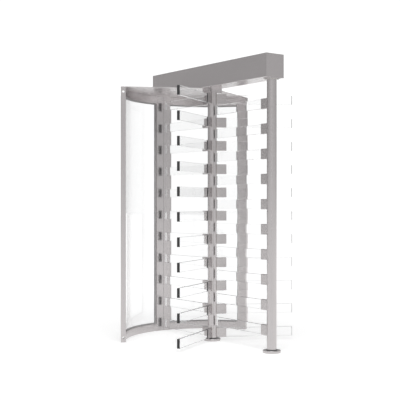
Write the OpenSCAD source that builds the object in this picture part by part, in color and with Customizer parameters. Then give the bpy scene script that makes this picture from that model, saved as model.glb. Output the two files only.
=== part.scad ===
// Visitor counter turnstile: a full-height rotor of clear blades between a fixed comb
// barrier and a curved glazed panel, hung from a box beam that holds the counting mechanism.
// The origin is on the floor at the rotor axis. +X runs along the beam towards the post,
// -X towards the curved panel, +Z up. Millimetres.

/* [Overall] */
// Height from the floor to the top of the beam
height = 2300; // [2150:10:2760]
// Distance from the rotor axis to the post axis
post_x = 754; // [740:1:910]
// Beam width
beam_w = 178; // [174:1:240]
// Beam height, lid included
beam_h = 183; // [165:1:240]
// How far the beam runs past the post axis
beam_over = 40; // [40:1:120]
// Beam sheet thickness
beam_t = 4; // [3:0.5:5]

/* [Tubes] */
// Outside diameter of the rotor column and of the post
tube_od = 76.1; // [70:0.1:91.3]
// Tube wall
tube_wall = 3.2; // [2.6:0.1:5]

/* [Blades] */
// Number of blade levels on the rotor
levels = 11; // [6:1:11]
// Radius of the swept circle at the blade tips
tip_r = 680; // [560:1:700]
// Blade height
blade_h = 75; // [50:1:80]
// Blade thickness
blade_t = 22; // [16:0.2:26.4]
// Thickness of the black end cap on a blade
cap_t = 1.2; // [0.8:0.1:4]
// How far the end cap stands proud of the blade on each side
cap_over = 1; // [0:0.5:1.5]
// Gap between a blade's end and its cap
cap_gap = 0.3; // [0.1:0.1:0.5]
// Distance from the rotor axis to the tips of the fixed blades
barrier_gap = 71; // [65:1:120]

/* [Clamps] */
// How far a rotor clamp reaches from the rotor axis
rotor_clamp_r = 118; // [100:1:130]
// How far a barrier clamp reaches from the post axis
post_clamp_r = 112; // [100:1:180]
// Clamp wall
clamp_wall = 2.5; // [2:0.1:4]
// Rubber liner between clamp and blade
liner_t = 0.8; // [0.5:0.1:1.5]
// Clearance on each side of the liner
liner_gap = 0.15; // [0.05:0.05:0.3]
// Distance from a tube's skin to the blade end inside the clamp
blade_set_back = 9; // [6:1:15]
// Vertical clearance above and below the rotor's clamps
level_gap = 8; // [7:1:40]

/* [Curved panel] */
// Radius of the panel's inner face
panel_r = 725; // [720:1:870]
// Depth of the panel's folded lips
panel_d = 41; // [30:1:50]
// Half of the angle that the panel covers
panel_half = 62.5; // [50:0.5:70]
// Sheet thickness of the panel frame
sheet_t = 3; // [2:0.5:4]
// Width of a stile on the inner face
stile_w = 78; // [60:1:100]
// Height of a rail on the inner face
rail_h = 66; // [60:1:90]
// Gap between the two panel sections
section_gap = 1; // [0.5:0.1:2]
// Thickness of the end flanges
flange_t = 5; // [4:0.5:8]
// Bolt hole radius in the end flanges
flange_hole_r = 9.2; // [6:0.1:10]
// Distance from a flange's end to its hole
flange_hole_z = 39; // [25:1:60]
// Pane thickness
pane_t = 10; // [6:0.5:12]
// How far the pane sits behind the panel's inner face
pane_recess = 15; // [8:0.5:18]
// Width of the pane gasket that shows
gasket_w = 10; // [8:0.5:14]
// Rubber on each side of the pane
gasket_t = 4; // [2:0.5:4]
// Thickness of the canopy plate
canopy_t = 4; // [3:0.5:6]

/* [Feet] */
// Radius of the floor covers
cover_r = 70; // [66:1:85]
// Height of the floor covers
cover_h = 20; // [19:1:30]
// Radius of the foot plates
foot_r = 62; // [60:0.5:64]
// Thickness of the foot plates
foot_t = 12; // [8:1:14]
// Bolt circle radius of the foot plates
foot_bolt_r = 53; // [51:0.5:54]
// Anchor hole radius
anchor_r = 5.5; // [4:0.5:6]

/* [Hub and bearing] */
// Width of the square hub housing
hub_w = 120; // [116:1:140]
// Height of the hub housing
hub_h = 45; // [40:1:60]
// Size of the open corners of the hub housing
hub_corner = 6; // [4:0.5:8]
// Radius of the rotor's upper shaft
shaft_r = 25; // [23:0.5:30]
// Radius of the bearing balls
ball_r = 4.6; // [4:0.1:4.6]
// Radius of the lower pivot pin
pivot_r = 12.5; // [10:0.5:14]
// Radial running clearance of the lower bush
bush_fit = 0.06; // [0.03:0.01:0.1]

/* [Mechanism] */
// Radius of the brake disc
disc_r = 75; // [70:0.5:76]
// Gear module
gear_m = 2; // [1.8:0.1:2]
// Teeth on the rotor gear
gear_z = 50; // [40:1:50]
// Teeth on the encoder pinion
pinion_z = 20; // [18:1:24]
// Tooth thinning on each gear
backlash = 0.3; // [0.2:0.05:0.4]
// Distance of each brake arm's pivot from the middle plane
arm_pivot_y = 58; // [56:0.5:59]
// Swing of a brake arm from free to braking, in degrees
arm_swing = 16; // [12:1:16]
// Gap left between a shoe and the disc at the end of its swing
shoe_gap = 0.35; // [0.3:0.05:0.6]
// Radial running clearance of the brake arms and the encoder shaft
pin_fit = 0.05; // [0.02:0.01:0.1]
// Radial sliding clearance of the solenoid plungers
plunger_fit = 0.08; // [0.03:0.01:0.1]

/* [Hidden] */
$fn = 48;

cut = 1;                                  // how far a cutting tool runs past a face
seat = 0.01;                              // hairline left where a thin plate lies on a wide face
tube_r = tube_od / 2;
tube_bore = tube_r - tube_wall;
beam_z = height - beam_h;
beam_x0 = -(panel_r + panel_d + 1);
beam_x1 = post_x + beam_over;
beam_floor = beam_z + beam_t;
channel_top = height - beam_t;
lip_w = 18;
wing_angles = [300, 60, 180];             // wings a, b and c

slot_h = blade_h + 2 * liner_t + 4 * liner_gap;
slot_w = blade_t + 2 * liner_t + 4 * liner_gap;
clamp_h = slot_h + 2 * clamp_wall;
clamp_w = slot_w + 2 * clamp_wall;
cap_w = blade_t + 2 * cap_over;
barrier_reach = post_x - barrier_gap;
low_z = cover_h + level_gap + clamp_h / 2;
top_z = beam_z - hub_h - level_gap - clamp_h / 2;
pitch = (top_z - low_z) / (levels - 1);
rotor_zs = [for (i = [0 : levels - 1]) low_z + i * pitch];
barrier_zs = [for (i = [0 : levels - 2]) low_z + (i + 0.5) * pitch];
blade_in = tube_r + blade_set_back;
liner_in = blade_in - liner_t - liner_gap;
clamp_screw_r = 2.9;
clamp_screw_gap = 0.1;

panel_top = beam_z - canopy_t;
panel_out = panel_r + panel_d;
deg_per_mm = 180 / (PI * panel_r);
stile_deg = stile_w * deg_per_mm;
web_deg = sheet_t * deg_per_mm;
gap_deg = section_gap / 2 * deg_per_mm;
flange_deg = flange_t * deg_per_mm;
window_deg0 = stile_deg;
window_deg1 = panel_half - stile_deg;
window_z0 = rail_h;
window_z1 = panel_top - rail_h;
pane_edge = gasket_t;                     // the pane stops this far inside the window's edge
pane_gap = 0.15;
pane_r0 = panel_r + pane_recess;
pane_r1 = pane_r0 + pane_t;
flange_mid_r = panel_r + panel_d / 2;
joint_bolt_r = 4;
joint_bolt_zs = [for (i = [0 : 4]) 150 + i * (panel_top - 300) / 4];
floor_screw_degs = [20, 45];

hub_z = beam_z - hub_h;
hub_wall = 4;
column_foot_z = foot_t + 10;
column_top_z = hub_z + 20;
column_hole_gap = 1.5;
plate_z = beam_floor;
plate_t = 8;
mech_z = plate_z + plate_t;
bearing_z = mech_z + 4;
bearing_h = 16;
bearing_mid = bearing_z + bearing_h / 2;
ball_track_r = shaft_r + 7.5;
race_gap = 0.3;
ring_in_r = ball_track_r - 2.5;
ring_out_r = ball_track_r + 2.5;
bearing_r = ball_track_r + 7.5;
shoulder_r = shaft_r + 3;
disc_z = bearing_z + bearing_h + 11;
disc_t = 10;
gear_z0 = disc_z + disc_t + 4;
gear_t = 12;
nut_z = gear_z0 + gear_t;
nut_t = 12;
shaft_top = nut_z + nut_t + 2;
centre_d = gear_m * (gear_z + pinion_z) / 2;

encoder_shaft_r = 5;
encoder_r = 29;
encoder_h = 40;
bracket_z = nut_z + 7;
bracket_t = 5;
bracket_x1 = centre_d + 80;

arm_pivot_x = -(disc_r + 21);
arm_t = disc_t - 2;
arm_z = disc_z + 1;
arm_pin_r = 5;
arm_boss_r = 9;
arm_w = 10;
shoe_t = 7;
shoe_mid = 160;                           // where a braking shoe stands round the disc, in degrees
shoe_half = 10;
follower_arm = 20;                        // from the arm's pivot to its follower, across the plunger
follower_x = arm_pivot_x - 4;
follower_r = 5;
plunger_y = arm_pivot_y - follower_arm;
plunger_z = arm_z + arm_t / 2;
plunger_r = 5;
plunger_head_r = 8;
plunger_head_t = 3;
plunger_gap = 0.4;
plunger_tip_x = follower_x - follower_r - plunger_gap;
solenoid_x1 = plunger_tip_x - 20;
solenoid_l = 44;
solenoid_w = 34;

STEEL = [0.66, 0.65, 0.63];
DARK_STEEL = [0.45, 0.45, 0.46];
BRONZE = [0.72, 0.55, 0.30];
BLACK = [0.06, 0.06, 0.06];
RUBBER = [0.16, 0.16, 0.16];
CLEAR = [0.86, 0.93, 0.93, 0.35];
ZINC = [0.75, 0.76, 0.78];
GREEN = [0.10, 0.35, 0.20];

// ---- shared shapes -------------------------------------------------------------------------

// A ring between two radii and two heights.
module ring(r_in, r_out, z0, z1) {
    translate([0, 0, z0]) difference() {
        cylinder(r = r_out, h = z1 - z0, $fn = 96);
        translate([0, 0, -cut]) cylinder(r = r_in, h = z1 - z0 + 2 * cut, $fn = 96);
    }
}

// A box from one corner to the opposite one.
module span(a, b) {
    translate(a) cube(b - a);
}

// A stretch of curved wall of the +Y section, between two angles measured from -X.
module arc(r0, r1, z0, z1, deg0, deg1) {
    rotate([0, 0, 180 - deg1]) rotate_extrude(angle = deg1 - deg0, $fn = 180)
        translate([r0, z0]) square([r1 - r0, z1 - z0]);
}

// Both panel sections: the shape and its mirror image.
module both_sections() {
    children();
    mirror([0, 1, 0]) children();
}

// A vertical hole tool through a plate.
module hole(x, y, r, z0, z1) {
    translate([x, y, z0 - cut]) cylinder(r = r, h = z1 - z0 + 2 * cut);
}

// ---- blades, clamps and their fittings -----------------------------------------------------

// A clamp sleeve from the tube's skin outwards, open at its far end.
module clamp(z, reach) {
    difference() {
        translate([0, -clamp_w / 2, z - clamp_h / 2]) cube([reach, clamp_w, clamp_h]);
        translate([0, 0, z - clamp_h / 2 - cut]) cylinder(r = tube_r, h = clamp_h + 2 * cut, $fn = 96);
        translate([0, -slot_w / 2, z - slot_h / 2]) cube([reach + cut, slot_w, slot_h]);
        for (x = clamp_screw_xs(reach))
            hole(x, 0, clamp_screw_r + clamp_screw_gap, z - clamp_h / 2, z - slot_h / 2);
    }
}

function clamp_screw_xs(reach) = [blade_in + 15, reach - 15];

// The two set screws of a clamp, in its lower wall.
module clamp_screw_pair(z, reach) {
    for (x = clamp_screw_xs(reach)) translate([x, 0, z - clamp_h / 2]) difference() {
        cylinder(r = clamp_screw_r, h = clamp_wall);
        translate([0, 0, -cut]) cylinder(r = 1.4, h = cut + 1.6, $fn = 6);
    }
}

// The rubber liner round a blade's end, closed behind the blade.
module liner(z, reach) {
    out_h = blade_h + 2 * liner_gap + 2 * liner_t;
    out_w = blade_t + 2 * liner_gap + 2 * liner_t;
    in_h = blade_h + 2 * liner_gap;
    in_w = blade_t + 2 * liner_gap;
    difference() {
        translate([liner_in, -out_w / 2, z - out_h / 2]) cube([reach - liner_in, out_w, out_h]);
        translate([liner_in + liner_t, -in_w / 2, z - in_h / 2])
            cube([reach - liner_in, in_w, in_h]);
    }
}

// A clear blade that stops short of its cap.
module blade(z, reach) {
    translate([blade_in, -blade_t / 2, z - blade_h / 2])
        cube([reach - cap_t - cap_gap - blade_in, blade_t, blade_h]);
}

// The black strip on a blade's end.
module blade_cap(z, reach) {
    translate([reach - cap_t, -cap_w / 2, z - blade_h / 2]) cube([cap_t, cap_w, blade_h]);
}

module wing(i) {
    rotate([0, 0, wing_angles[i]]) children();
}

// Places a shape at the post, facing the rotor.
module at_post() {
    translate([post_x, 0, 0]) rotate([0, 0, 180]) children();
}

module rotor_clamps(i) {
    color(STEEL) wing(i) for (z = rotor_zs) clamp(z, rotor_clamp_r);
}

module rotor_blades(i) {
    color(CLEAR) wing(i) for (z = rotor_zs) blade(z, tip_r);
}

module rotor_clamps_a() { rotor_clamps(0); }
module rotor_clamps_b() { rotor_clamps(1); }
module rotor_clamps_c() { rotor_clamps(2); }
module rotor_blades_a() { rotor_blades(0); }
module rotor_blades_b() { rotor_blades(1); }
module rotor_blades_c() { rotor_blades(2); }

module rotor_liners() {
    color(RUBBER) for (i = [0 : 2]) wing(i) for (z = rotor_zs) liner(z, rotor_clamp_r);
}

module rotor_caps() {
    color(BLACK) for (i = [0 : 2]) wing(i) for (z = rotor_zs) blade_cap(z, tip_r);
}

module rotor_clamp_screws() {
    color(ZINC) for (i = [0 : 2]) wing(i) for (z = rotor_zs) clamp_screw_pair(z, rotor_clamp_r);
}

module barrier_clamps() {
    color(STEEL) at_post() for (z = barrier_zs) clamp(z, post_clamp_r);
}

module barrier_blades() {
    color(CLEAR) at_post() for (z = barrier_zs) blade(z, barrier_reach);
}

module barrier_liners() {
    color(RUBBER) at_post() for (z = barrier_zs) liner(z, post_clamp_r);
}

module barrier_caps() {
    color(BLACK) at_post() for (z = barrier_zs) blade_cap(z, barrier_reach);
}

module barrier_clamp_screws() {
    color(ZINC) at_post() for (z = barrier_zs) clamp_screw_pair(z, post_clamp_r);
}

// ---- rotor ---------------------------------------------------------------------------------

module rotor_column() {
    color(STEEL) ring(tube_bore, tube_r, column_foot_z, column_top_z);
}

// The plug in the column's top and the shaft that the bearing and the brake disc sit on.
plug_l = 40;
module rotor_shaft() {
    color(DARK_STEEL) {
        translate([0, 0, column_top_z - plug_l]) cylinder(r = tube_bore, h = plug_l, $fn = 96);
        translate([0, 0, column_top_z - cut])
            cylinder(r = shoulder_r, h = bearing_z - column_top_z + cut, $fn = 96);
        translate([0, 0, bearing_z - cut])
            cylinder(r = shaft_r, h = shaft_top - bearing_z + cut, $fn = 96);
    }
}

// The plug in the column's foot, bored for the bush.
bush_r = pivot_r + 4;
bush_h = 30;
bush_flange_r = bush_r + 4;
bush_flange_t = 3;
pivot_shoulder_r = pivot_r + 6;
pivot_shoulder_z = foot_t + 6;
bush_z = pivot_shoulder_z + race_gap;
module rotor_foot_plug() {
    color(DARK_STEEL) ring(bush_r, tube_bore, column_foot_z, column_foot_z + bush_h);
}

module rotor_bush() {
    color(BRONZE) difference() {
        union() {
            translate([0, 0, bush_z]) cylinder(r = bush_flange_r, h = column_foot_z - bush_z);
            translate([0, 0, bush_z]) cylinder(r = bush_r, h = column_foot_z - bush_z + bush_h);
        }
        translate([0, 0, bush_z - cut])
            cylinder(r = pivot_r + bush_fit, h = bush_h + column_foot_z - bush_z + 2 * cut);
    }
}

// A bearing ring with its ball groove.
module race(r_in, r_out) {
    color(ZINC) difference() {
        ring(r_in, r_out, bearing_z, bearing_z + bearing_h);
        translate([0, 0, bearing_mid]) rotate_extrude($fn = 96)
            translate([ball_track_r, 0]) circle(r = ball_r + race_gap, $fn = 32);
    }
}

module bearing_inner_ring() { race(shaft_r, ring_in_r); }
module bearing_outer_ring() { race(ring_out_r, bearing_r); }

ball_count = 12;
module bearing_balls() {
    color(ZINC) for (i = [0 : ball_count - 1]) rotate([0, 0, i * 360 / ball_count])
        translate([ball_track_r, 0, bearing_mid]) sphere(r = ball_r, $fn = 32);
}

// The brake disc: a plain rim, and a boss that stands on the inner ring.
module brake_disc() {
    color(DARK_STEEL) difference() {
        union() {
            translate([0, 0, disc_z]) cylinder(r = disc_r, h = disc_t, $fn = 120);
            translate([0, 0, bearing_z + bearing_h])
                cylinder(r = ring_in_r, h = disc_z - bearing_z - bearing_h + cut, $fn = 96);
            translate([0, 0, disc_z + disc_t - cut])
                cylinder(r = ring_in_r, h = gear_z0 - disc_z - disc_t + cut, $fn = 96);
        }
        translate([0, 0, bearing_z]) cylinder(r = shaft_r, h = gear_z0 - bearing_z + cut, $fn = 96);
    }
}

pressure = 20;
function involute(r, base_r) = let(a = acos(min(1, base_r / r))) tan(a) * 180 / PI - a;

// The outline of a gear: each tooth has an involute flank of four points on each side.
function gear_outline(m, n) = let(
    pitch_r = m * n / 2,
    base_r = pitch_r * cos(pressure),
    root_r = pitch_r - 1.25 * m,
    tip = pitch_r + m,
    half = 90 / n - backlash / 2 / pitch_r * 180 / PI + involute(pitch_r, base_r),
    r0 = max(base_r, root_r),
    flank = [for (k = [0 : 3]) r0 + (tip - r0) * k / 3]
) [for (t = [0 : n - 1]) let(mid = t * 360 / n) each concat(
    [root_r * [cos(mid - half), sin(mid - half)]],
    [for (r = flank) r * [cos(mid - half + involute(r, base_r)), sin(mid - half + involute(r, base_r))]],
    [for (k = [3 : -1 : 0]) let(r = flank[k])
        r * [cos(mid + half - involute(r, base_r)), sin(mid + half - involute(r, base_r))]],
    [root_r * [cos(mid + half), sin(mid + half)]]
)];

module drive_gear() {
    color(BRONZE) difference() {
        translate([0, 0, gear_z0]) linear_extrude(gear_t) polygon(gear_outline(gear_m, gear_z));
        translate([0, 0, gear_z0 - cut]) cylinder(r = shaft_r, h = gear_t + 2 * cut, $fn = 96);
    }
}

module shaft_nut() {
    color(ZINC) difference() {
        ring(shaft_r, shaft_r + 8, nut_z, nut_z + nut_t);
        for (i = [0 : 3]) rotate([0, 0, 45 + i * 90])
            translate([shaft_r + 5, -3, nut_z - cut]) cube([10, 6, nut_t + 2 * cut]);
    }
}

// ---- feet ----------------------------------------------------------------------------------

module foot_holes() {
    for (i = [0 : 3]) rotate([0, 0, 45 + 90 * i]) hole(foot_bolt_r, 0, anchor_r, 0, foot_t);
}

// The floor cover: a shallow cap with a hole round the tube.
seal_r = tube_r + 4;
seal_h = level_gap - 2;
seal_gap = 0.4;
module foot_cover() {
    color(STEEL) difference() {
        cylinder(r = cover_r, h = cover_h, $fn = 96);
        translate([0, 0, -cut]) cylinder(r = cover_r - 2, h = cover_h - 2 + cut, $fn = 96);
        cylinder(r = seal_r - 2, h = cover_h + cut, $fn = 96);
    }
}

module foot_seal() {
    color(BLACK) ring(tube_r + seal_gap, seal_r, cover_h, cover_h + seal_h);
}

module rotor_foot_plate() {
    color(DARK_STEEL) difference() {
        union() {
            cylinder(r = foot_r, h = foot_t, $fn = 96);
            cylinder(r = pivot_shoulder_r, h = pivot_shoulder_z);
            cylinder(r = pivot_r, h = column_foot_z + bush_h - 2);
        }
        foot_holes();
    }
}

module rotor_foot_cover() { foot_cover(); }
module rotor_foot_seal() { foot_seal(); }

module post_foot_plate() {
    color(DARK_STEEL) translate([post_x, 0, 0]) difference() {
        cylinder(r = foot_r, h = foot_t, $fn = 96);
        foot_holes();
    }
}

module post_foot_cover() { translate([post_x, 0, 0]) foot_cover(); }
module post_foot_seal() { translate([post_x, 0, 0]) foot_seal(); }

// ---- post ----------------------------------------------------------------------------------

post_plate_t = 8;
post_plate_x = beam_over - 1;
post_bolt_r = 4;
post_bolt_head = 5;
post_nut_r = 7.5;
post_nut_h = 6.5;
post_bolt_x = min(post_plate_x - post_nut_r - 4.5, tube_r);
post_bolt_y = sqrt(pow(tube_r + post_nut_r + 2, 2) - pow(post_bolt_x, 2));
post_plate_y = post_bolt_y + post_nut_r + 3.5;

module post_tube() {
    color(STEEL) translate([post_x, 0, 0]) ring(tube_bore, tube_r, foot_t, beam_z - post_plate_t);
}

module at_post_bolts() {
    for (sx = [-1, 1], sy = [-1, 1])
        translate([post_x + sx * post_bolt_x, sy * post_bolt_y, 0]) children();
}

module post_top_plate() {
    color(STEEL) difference() {
        span([post_x - post_plate_x, -post_plate_y, beam_z - post_plate_t],
             [post_x + post_plate_x, post_plate_y, beam_z]);
        at_post_bolts() hole(0, 0, post_bolt_r + 0.5, beam_z - post_plate_t, beam_z);
        hole(post_x, 0, 20, beam_z - post_plate_t, beam_z);
    }
}

// Bolts up through the post's plate and the beam's floor, each with its nut.
module post_bolts() {
    color(ZINC) at_post_bolts() {
        translate([0, 0, beam_z - post_plate_t - post_bolt_head])
            cylinder(r = post_nut_r, h = post_bolt_head, $fn = 6);
        translate([0, 0, beam_z - post_plate_t - cut])
            cylinder(r = post_bolt_r, h = post_plate_t + beam_t + post_nut_h + 3 + cut);
        translate([0, 0, beam_floor]) cylinder(r = post_nut_r, h = post_nut_h, $fn = 6);
    }
}

// ---- beam ----------------------------------------------------------------------------------

lid_screw_xs = [for (i = [0 : 4]) beam_x0 + 60 + i * (beam_x1 - beam_x0 - 120) / 4];
canopy_screw_xs = [-640, -420, -200];
canopy_screw_y = 50;
hub_screw_xy = hub_w / 2 - 14;
cable_hole_r = 15;

module beam_channel() {
    color(STEEL) difference() {
        span([beam_x0 + beam_t, -beam_w / 2, beam_z], [beam_x1 - beam_t, beam_w / 2, channel_top]);
        span([beam_x0, -beam_w / 2 + beam_t, beam_floor],
             [beam_x1, beam_w / 2 - beam_t, channel_top - beam_t]);
        span([beam_x0, -beam_w / 2 + lip_w, beam_floor],
             [beam_x1, beam_w / 2 - lip_w, channel_top + cut]);
        hole(0, 0, shoulder_r + 2, beam_z, beam_floor);
        hole(post_x, 0, cable_hole_r, beam_z, beam_floor);
        at_post_bolts() hole(0, 0, post_bolt_r + 0.5, beam_z, beam_floor);
        for (x = canopy_screw_xs, s = [-1, 1]) hole(x, s * canopy_screw_y, 3.2, beam_z, beam_floor);
        for (sx = [-1, 1], sy = [-1, 1])
            hole(sx * hub_screw_xy, sy * hub_screw_xy, 3.2, beam_z, beam_floor);
        for (x = lid_screw_xs, s = [-1, 1])
            hole(x, s * (beam_w / 2 - lip_w / 2), 2.6, channel_top - beam_t, channel_top);
    }
}

module beam_lid() {
    color(STEEL) difference() {
        span([beam_x0, -beam_w / 2, channel_top], [beam_x1, beam_w / 2, height]);
        for (x = lid_screw_xs, s = [-1, 1])
            hole(x, s * (beam_w / 2 - lip_w / 2), 2.6, channel_top, height);
    }
}

module beam_lid_screws() {
    color(ZINC) for (x = lid_screw_xs, s = [-1, 1])
        translate([x, s * (beam_w / 2 - lip_w / 2), channel_top - beam_t - 2]) {
            cylinder(r = 2.5, h = 2 * beam_t + 2);
        }
}

module beam_end_plates() {
    color(STEEL) {
        span([beam_x0, -beam_w / 2, beam_z], [beam_x0 + beam_t, beam_w / 2, channel_top]);
        span([beam_x1 - beam_t, -beam_w / 2, beam_z], [beam_x1, beam_w / 2, channel_top]);
    }
}

// ---- hub and mechanism ---------------------------------------------------------------------

// The square housing under the beam: four sides with open corners, a floor and a top rim.
module hub_housing() {
    h = hub_w / 2;
    color(STEEL) difference() {
        span([-h, -h, hub_z], [h, h, beam_z]);
        span([-h + hub_wall, -h + hub_wall, hub_z + hub_wall], [h - hub_wall, h - hub_wall, beam_z - hub_wall]);
        hole(0, 0, tube_r + column_hole_gap, hub_z, hub_z + hub_wall);
        hole(0, 0, tube_r + 4, beam_z - hub_wall, beam_z);
        for (a = [0 : 90 : 270]) rotate([0, 0, a])
            span([h - hub_corner, h - hub_corner, hub_z - cut], [h + cut, h + cut, beam_z - hub_wall]);
        for (sx = [-1, 1], sy = [-1, 1])
            hole(sx * hub_screw_xy, sy * hub_screw_xy, 3.2, beam_z - hub_wall, beam_z);
    }
}

// Screws up through the housing's rim, the beam's floor and the mechanism plate.
module hub_screws() {
    color(ZINC) for (sx = [-1, 1], sy = [-1, 1])
        translate([sx * hub_screw_xy, sy * hub_screw_xy, beam_z - hub_wall]) {
            translate([0, 0, -4]) cylinder(r = 5, h = 4);
            translate([0, 0, -cut]) cylinder(r = 3, h = hub_wall + beam_t + plate_t + cut);
        }
}

plate_x0 = solenoid_x1 - solenoid_l - 12;
plate_x1 = bracket_x1 + 8;
plate_y = 78;
module mechanism_plate() {
    color(DARK_STEEL) difference() {
        span([plate_x0, -plate_y, plate_z], [plate_x1, plate_y, mech_z]);
        hole(0, 0, shoulder_r + 2, plate_z, mech_z);
        for (sx = [-1, 1], sy = [-1, 1])
            hole(sx * hub_screw_xy, sy * hub_screw_xy, 3.2, plate_z, mech_z);
        for (x = canopy_screw_xs, s = [-1, 1]) hole(x, s * canopy_screw_y, 8, plate_z, mech_z);
    }
}

// The bearing's seat: a lip below, a wall round the outer ring and a square flange.
module bearing_housing() {
    wall_r = bearing_r + 9;
    color(ZINC) difference() {
        union() {
            translate([0, 0, mech_z]) cylinder(r = wall_r, h = bearing_z - mech_z + bearing_h + 3, $fn = 96);
            span([-wall_r - 4, -wall_r - 4, mech_z], [wall_r + 4, wall_r + 4, mech_z + 6]);
        }
        hole(0, 0, ring_out_r, mech_z, bearing_z);
        translate([0, 0, bearing_z]) cylinder(r = bearing_r, h = bearing_h + 10, $fn = 96);
        for (sx = [-1, 1], sy = [-1, 1]) hole(sx * hub_screw_xy, sy * hub_screw_xy, 3.2, mech_z, mech_z + 6);
    }
}

module encoder_bracket() {
    color(DARK_STEEL) {
        difference() {
            span([centre_d - encoder_r, -encoder_r - 3, bracket_z],
                 [bracket_x1, encoder_r + 3, bracket_z + bracket_t]);
            hole(centre_d, 0, encoder_shaft_r + 4, bracket_z, bracket_z + bracket_t);
        }
        span([bracket_x1 - bracket_t, -encoder_r - 3, mech_z], [bracket_x1, encoder_r + 3, bracket_z]);
    }
}

module encoder_body() {
    z0 = bracket_z + bracket_t;
    color(BLACK) translate([centre_d, 0, z0]) difference() {
        union() {
            cylinder(r = encoder_r, h = encoder_h, $fn = 96);
            translate([encoder_r - 4, -8, 12]) cube([14, 16, 16]);
        }
        translate([0, 0, -cut]) cylinder(r = encoder_shaft_r + pin_fit, h = 25 + cut);
    }
}

// The pinion and the encoder's shaft turn together.
module encoder_pinion() {
    color(BRONZE) translate([centre_d, 0, 0]) {
        translate([0, 0, gear_z0 - 1]) rotate([0, 0, 180 - 180 / pinion_z]) linear_extrude(gear_t + 1)
            polygon(gear_outline(gear_m, pinion_z));
        translate([0, 0, gear_z0 + gear_t - cut])
            cylinder(r = encoder_shaft_r, h = bracket_z + bracket_t + 20 - gear_z0 - gear_t + cut);
    }
}

module both_sides() {
    children();
    mirror([0, 1, 0]) children();
}

// Shoulder pins that the brake arms swing on, each with its clip.
clip_gap = 0.4;
module brake_pins() {
    color(ZINC) both_sides() translate([arm_pivot_x, arm_pivot_y, 0]) {
        translate([0, 0, mech_z]) cylinder(r = 8, h = arm_z - clip_gap - mech_z);
        translate([0, 0, arm_z - clip_gap - cut]) cylinder(r = arm_pin_r, h = arm_t + 5 + cut);
        translate([0, 0, arm_z + arm_t + clip_gap]) cylinder(r = 8, h = 2);
    }
}

// A brake arm in its free position: a boss on the pin, an arm that ends behind the shoe, the shoe and
// the round follower that the plunger pushes. The shoe is drawn on the disc and swung back with its arm.
module brake_arm() {
    shoe_back = (disc_r + shoe_gap + shoe_t) * [cos(shoe_mid), sin(shoe_mid)];
    along = shoe_back - [arm_pivot_x, arm_pivot_y];
    follower = [follower_x - arm_pivot_x, -follower_arm];
    translate([arm_pivot_x, arm_pivot_y, arm_z]) linear_extrude(arm_t) difference() {
        union() {
            rotate(-arm_swing) {
                rotate(atan2(along[1], along[0])) translate([0, -arm_w / 2]) square([norm(along), arm_w]);
                translate(along) circle(r = arm_w / 2 + 1, $fn = 32);
                translate([-arm_pivot_x, -arm_pivot_y]) rotate(shoe_mid) shoe_outline();
            }
            circle(r = arm_boss_r, $fn = 64);
            translate(follower) circle(r = follower_r, $fn = 32);
            translate(follower) square([follower_r - 1, follower_arm]);
        }
        circle(r = arm_pin_r + pin_fit);
    }
}

// The outline of a shoe round the disc, with its middle on +X.
module shoe_outline() {
    shoe_r = disc_r + shoe_gap;
    far = 2 * shoe_r;
    intersection() {
        difference() {
            circle(r = shoe_r + shoe_t, $fn = 120);
            circle(r = shoe_r, $fn = 120);
        }
        polygon([[0, 0], far * [cos(shoe_half), -sin(shoe_half)], far * [cos(shoe_half), sin(shoe_half)]]);
    }
}

module brake_arm_a() { color(DARK_STEEL) brake_arm(); }
module brake_arm_b() { color(DARK_STEEL) mirror([0, 1, 0]) brake_arm(); }

// Push solenoids on their feet, bored for the plungers.
module solenoids() {
    w = solenoid_w / 2;
    color(BRONZE) both_sides() difference() {
        union() {
            span([solenoid_x1 - solenoid_l, plunger_y - w, plunger_z - w],
                 [solenoid_x1, plunger_y + w, plunger_z + w]);
            span([solenoid_x1 - solenoid_l + 6, plunger_y - w + 4, mech_z],
                 [solenoid_x1 - 6, plunger_y + w - 4, plunger_z - w + cut]);
        }
        translate([solenoid_x1 - solenoid_l + 3, plunger_y, plunger_z]) rotate([0, 90, 0])
            cylinder(r = plunger_r, h = solenoid_l);
    }
}

module plunger() {
    translate([solenoid_x1 - solenoid_l + 8, plunger_y, plunger_z]) rotate([0, 90, 0])
        cylinder(r = plunger_r - plunger_fit, h = plunger_tip_x - solenoid_x1 + solenoid_l - 9);
    translate([plunger_tip_x - plunger_head_t, plunger_y, plunger_z]) rotate([0, 90, 0])
        cylinder(r = plunger_head_r, h = plunger_head_t);
}

module plunger_a() { color(ZINC) plunger(); }
module plunger_b() { color(ZINC) mirror([0, 1, 0]) plunger(); }

board_x = 330;
module control_board() {
    z = beam_floor + 12;
    color(GREEN) {
        span([board_x, -60, z], [board_x + 160, 60, z + 2]);
        for (x = [board_x + 8, board_x + 152], y = [-52, 52])
            translate([x, y, beam_floor]) cylinder(r = 4, h = 13);
        for (i = [0 : 3]) span([board_x + 14 + i * 34, 38, z + 1], [board_x + 40 + i * 34, 54, z + 14]);
        span([board_x + 50, -30, z + 1], [board_x + 90, 10, z + 5]);
    }
}

supply_x = 530;
module power_supply() {
    color(ZINC) span([supply_x, -50, beam_floor], [supply_x + 150, 50, beam_floor + 40]);
}

// ---- curved panel --------------------------------------------------------------------------

// The flat canopy over the sector, cut round the hub housing.
module canopy_plate() {
    h = hub_w / 2;
    color(STEEL) difference() {
        rotate([0, 0, 180 - panel_half]) rotate_extrude(angle = 2 * panel_half, $fn = 180)
            translate([0, panel_top]) square([panel_out, canopy_t - seat]);
        span([-h, -h, panel_top - cut], [h, h, beam_z + cut]);
        for (x = canopy_screw_xs, s = [-1, 1]) hole(x, s * canopy_screw_y, 3.2, panel_top, beam_z);
    }
}

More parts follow.
